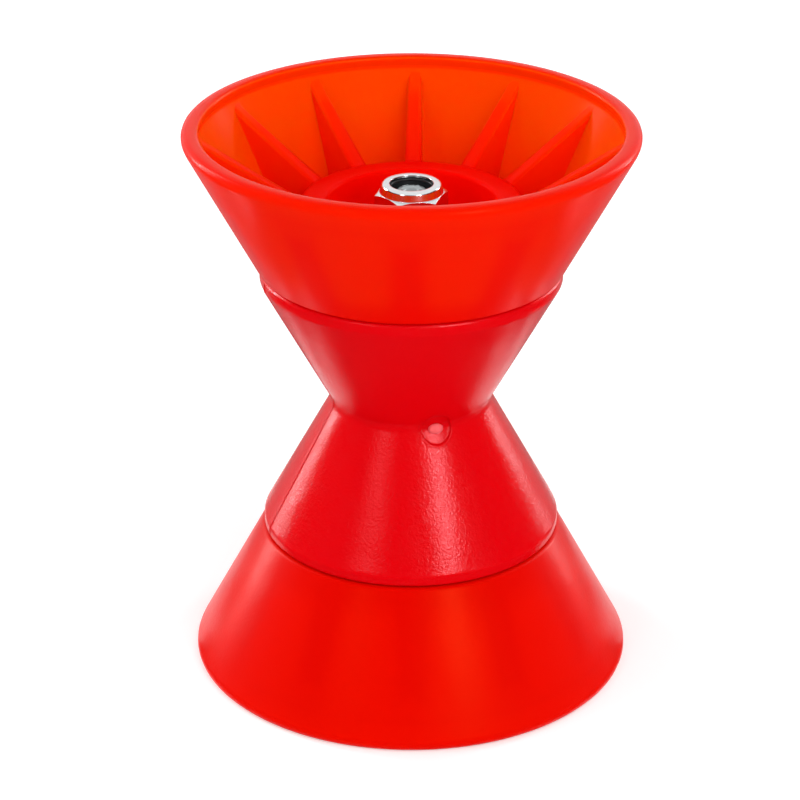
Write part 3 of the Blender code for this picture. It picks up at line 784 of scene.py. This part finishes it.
def softbox(name, bearing, low, high, width, radiance):
    """A rectangle of light. The bearing is in degrees from the camera's side towards +X, low and high
    are the elevations of its ends in degrees, and the radiance is what a mirror would show."""
    base, top = (math.tan(math.radians(angle)) * LAMP_DISTANCE for angle in (low, high))
    lamp = bpy.data.lights.new(name, "AREA")
    lamp.shape = "RECTANGLE"
    lamp.size = 2 * LAMP_DISTANCE * math.tan(math.radians(width / 2))
    lamp.size_y = top - base
    lamp.energy = radiance * math.pi * lamp.size * lamp.size_y
    made = bpy.data.objects.new(name, lamp)
    turned = math.radians(bearing)
    made.location = (LAMP_DISTANCE * math.sin(turned), -LAMP_DISTANCE * math.cos(turned),
                     LAMP_BASE + (base + top) / 2)
    made.rotation_euler = (math.radians(90), 0, turned)
    bpy.context.scene.collection.objects.link(made)
    return made


softbox("front_right", 31, 20, 42, 10.5, 26).visible_diffuse = False
softbox("front_left", -36, 20, 42, 14, 4.2)
softbox("side_right", 126, -1.5, 35, 7.5, 12)
softbox("side_left", -122, -1.5, 35, 6.5, 21)
softbox("fill_left", -80, 10, 50, 40, 1.4).visible_glossy = False
softbox("fill_right", 31, 5, 65, 60, 2.0).visible_glossy = False

# %% [markdown]
# Felt flags stand round the set, as in a product studio. Only reflections see them. A black wall
# and a black mat on the camera's side let the front of the PVC keep its full colour. Behind the
# roller the wall is left out and the mat is grey. The mat is made of rings, and each ring is left out
# over some directions: there the white floor shows, and it draws the hazy edges of the cones. A
# direction is the share of a step that goes straight back, 0 to the side and 1 away from the camera.

# %% Felt flags
FELT_RADIUS = 2.4
FELT_HEIGHT = 2.3
BEHIND = 0.5
MAT_INNER = 0.069
MAT_LIFT = 0.0005
CLOSED = (2.0, 2.0)
mat_rings = [(0.0765, (0.0, 1.0)), (0.115, (0.16, 1.0)), (0.155, (0.58, 1.0)), (0.175, CLOSED),
             (0.24, (0.15, 0.4)), (FELT_RADIUS, CLOSED)]

felt_form = bmesh.new()
bmesh.ops.create_circle(felt_form, cap_ends=False, segments=120, radius=MAT_INNER)
edge = felt_form.edges[:]
left_out = []
steps = [(radius, 0.0, opening) for radius, opening in mat_rings]
for radius, height, opening in steps + [(FELT_RADIUS, FELT_HEIGHT, (BEHIND, 1.0))]:
    grown = bmesh.ops.extrude_edge_only(felt_form, edges=edge)["geom"]
    verts = [v for v in grown if isinstance(v, bmesh.types.BMVert)]
    share = radius / verts[0].co.xy.length
    bmesh.ops.scale(felt_form, vec=(share, share, 1), verts=verts)
    bmesh.ops.translate(felt_form, vec=(0, 0, height), verts=verts)
    edge = [e for e in grown if isinstance(e, bmesh.types.BMEdge)
            and e.verts[0] in verts and e.verts[1] in verts]
    for face in {f for e in edge for f in e.link_faces}:
        centre = face.calc_center_median()
        if opening[0] < centre.y / centre.xy.length < opening[1]:
            left_out.append(face)
bmesh.ops.delete(felt_form, geom=left_out, context="FACES")
bmesh.ops.translate(felt_form, vec=(0, 0, MAT_LIFT), verts=felt_form.verts[:])
flags = piece("felt_flags", felt_form)
print("felt:", len(mat_rings), "rings,", len(left_out), "faces left out")

# %% The felt's colour
felt, tree = new_material("black_and_grey_felt")
level = node(tree, "ShaderNodeVectorMath", {
    0: node(tree, "ShaderNodeTexCoord").outputs["Object"], 1: (1, 1, 0)}, operation="MULTIPLY")
direction = node(tree, "ShaderNodeVectorMath", {0: level.outputs[0]}, operation="NORMALIZE")
behind = node(tree, "ShaderNodeMapRange", {
    "Value": node(tree, "ShaderNodeSeparateXYZ", {0: direction.outputs[0]}).outputs["Y"],
    "From Min": BEHIND - 0.05, "From Max": BEHIND + 0.1})
reach = node(tree, "ShaderNodeVectorMath", {0: level.outputs[0]}, operation="LENGTH")
far = node(tree, "ShaderNodeMapRange", {"Value": reach.outputs["Value"], "From Min": 0.2,
                                        "From Max": 0.35})
grey = node(tree, "ShaderNodeMix", {0: far.outputs[0], 6: linear("9C9C9C"), 7: linear("ACACAC")},
            data_type="RGBA")
shade = node(tree, "ShaderNodeMix", {0: behind.outputs[0], 6: linear("0A0A0A"), 7: grey.outputs[2]},
             data_type="RGBA")
cloth = node(tree, "ShaderNodeBsdfDiffuse", {"Color": shade.outputs[2]})
node(tree, "ShaderNodeOutputMaterial", {"Surface": cloth.outputs[0]})
flags.data.materials.append(felt)
flags.visible_camera = False
flags.visible_diffuse = False
flags.visible_shadow = False
flags.visible_transmission = False
print("felt reaches", FELT_RADIUS, "m out and", FELT_HEIGHT, "m up")

# %% [markdown]
# The camera repeats the picture's view: a long lens of 130 mm, 0.91 m away, looking 25.55 degrees
# down. These come from a fit of the roller's outline in the picture. The camera stands 3 mm to the
# left, which puts the roller a little right of the middle, as it is there.

# %% Camera
PICTURE_WIDTH = 800
FOCAL_PIXELS = 2888.4
SENSOR = 36
DOWN = 25.55
lens = bpy.data.cameras.new("camera")
lens.lens = FOCAL_PIXELS / PICTURE_WIDTH * SENSOR
lens.sensor_width = SENSOR
lens.clip_end = 30
camera = bpy.data.objects.new("camera", lens)
camera.location = (-3.35 * MM, -788.9 * MM, 460.3 * MM)
camera.rotation_euler = (math.radians(90 - DOWN), 0, 0)
bpy.context.scene.collection.objects.link(camera)
bpy.context.scene.camera = camera
bpy.context.scene.view_settings.view_transform = "Standard"
print("camera:", round(lens.lens, 1), "mm lens,", DOWN, "degrees down")
